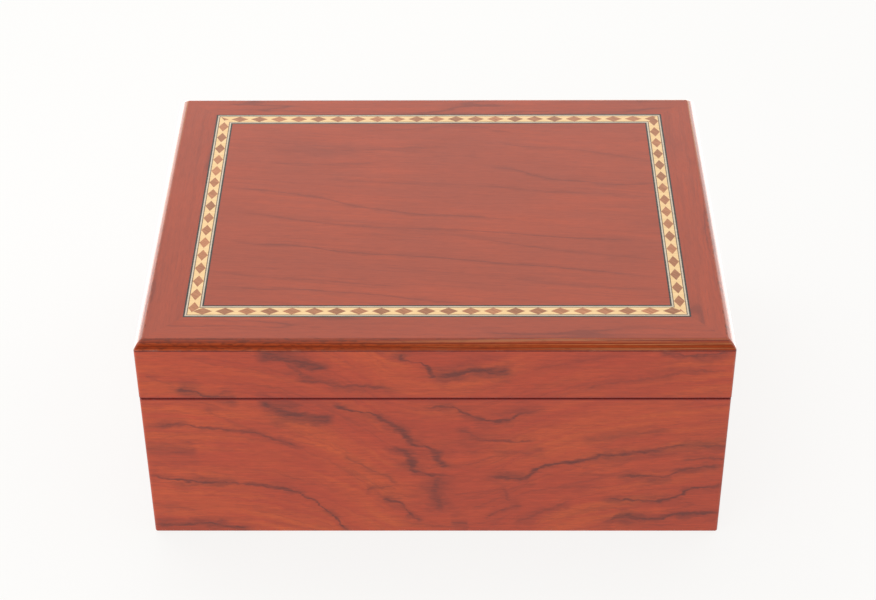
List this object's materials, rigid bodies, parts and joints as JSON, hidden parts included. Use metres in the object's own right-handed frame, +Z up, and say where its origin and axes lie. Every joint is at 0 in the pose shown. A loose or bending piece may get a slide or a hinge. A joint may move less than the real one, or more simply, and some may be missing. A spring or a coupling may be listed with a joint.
{
  "type": "inlaid wooden box",
  "caption": "Rectangular veneered keepsake box with a hinged lid, bevelled top edge and a diamond-pattern marquetry banding inlaid round the lid, lined inside.",
  "frame": {"origin": "middle of the underside, on the surface that the closed box stands on", "axes": "+X to the right across the front, +Y from the front to the hinges, +Z up"},
  "size_m": [0.26, 0.2089, 0.1115],
  "materials": {
    "side_veneer": "figured reddish veneer with dark veins under a high-gloss clear lacquer",
    "top_veneer": "reddish veneer with quiet straight grain under a high-gloss clear lacquer",
    "edging_wood": "solid brown-orange hardwood, striped along its length, under the same gloss lacquer",
    "inlay_banding": "marquetry strip of cream wood with brown diamonds between black, white and dark lines, lacquered",
    "core_board": "plain fibreboard, bare where it shows in the hinge recesses",
    "lining_wood": "thin planed cedar-like lining, unfinished and matt",
    "brass": "polished brass hinges and screws",
    "felt": "dark green wool baize glued under the base"
  },
  "bodies": {
    "base": {"base_back_board": "core_board", "base_back_liner": "lining_wood", "base_back_veneer": "side_veneer", "base_front_board": "core_board", "base_front_liner": "lining_wood", "base_front_veneer": "side_veneer", "base_left_board": "core_board", "base_left_liner": "lining_wood", "base_left_veneer": "side_veneer", "base_right_board": "core_board", "base_right_liner": "lining_wood", "base_right_veneer": "side_veneer", "bottom_panel": "core_board", "floor_liner": "lining_wood", "left_hinge_base_leaf": "brass", "left_hinge_base_screw_1": "brass", "left_hinge_base_screw_2": "brass", "left_hinge_pin": "brass", "right_hinge_base_leaf": "brass", "right_hinge_base_screw_1": "brass", "right_hinge_base_screw_2": "brass", "right_hinge_pin": "brass", "underside_felt": "felt"},
    "lid": {"crossband_back": "top_veneer", "crossband_front": "top_veneer", "crossband_left": "top_veneer", "crossband_right": "top_veneer", "inlay_banding_back": "inlay_banding", "inlay_banding_front": "inlay_banding", "inlay_banding_left": "inlay_banding", "inlay_banding_right": "inlay_banding", "left_hinge_lid_leaf": "brass", "left_hinge_lid_screw_1": "brass", "left_hinge_lid_screw_2": "brass", "lid_back_board": "core_board", "lid_back_edging": "edging_wood", "lid_back_liner": "lining_wood", "lid_back_veneer": "side_veneer", "lid_ceiling_liner": "lining_wood", "lid_field_veneer": "top_veneer", "lid_front_board": "core_board", "lid_front_edging": "edging_wood", "lid_front_liner": "lining_wood", "lid_front_veneer": "side_veneer", "lid_left_board": "core_board", "lid_left_edging": "edging_wood", "lid_left_liner": "lining_wood", "lid_left_veneer": "side_veneer", "lid_right_board": "core_board", "lid_right_edging": "edging_wood", "lid_right_liner": "lining_wood", "lid_right_veneer": "side_veneer", "right_hinge_lid_leaf": "brass", "right_hinge_lid_screw_1": "brass", "right_hinge_lid_screw_2": "brass", "top_panel": "core_board"}
  },
  "joints": [
    {"name": "lid_hinge", "type": "hinge", "parent": "base", "child": "lid", "pos_m": [0, 0.10337, 0.08069], "axis": [-1, 0, 0], "range_deg": [0, 95]}
  ]
}
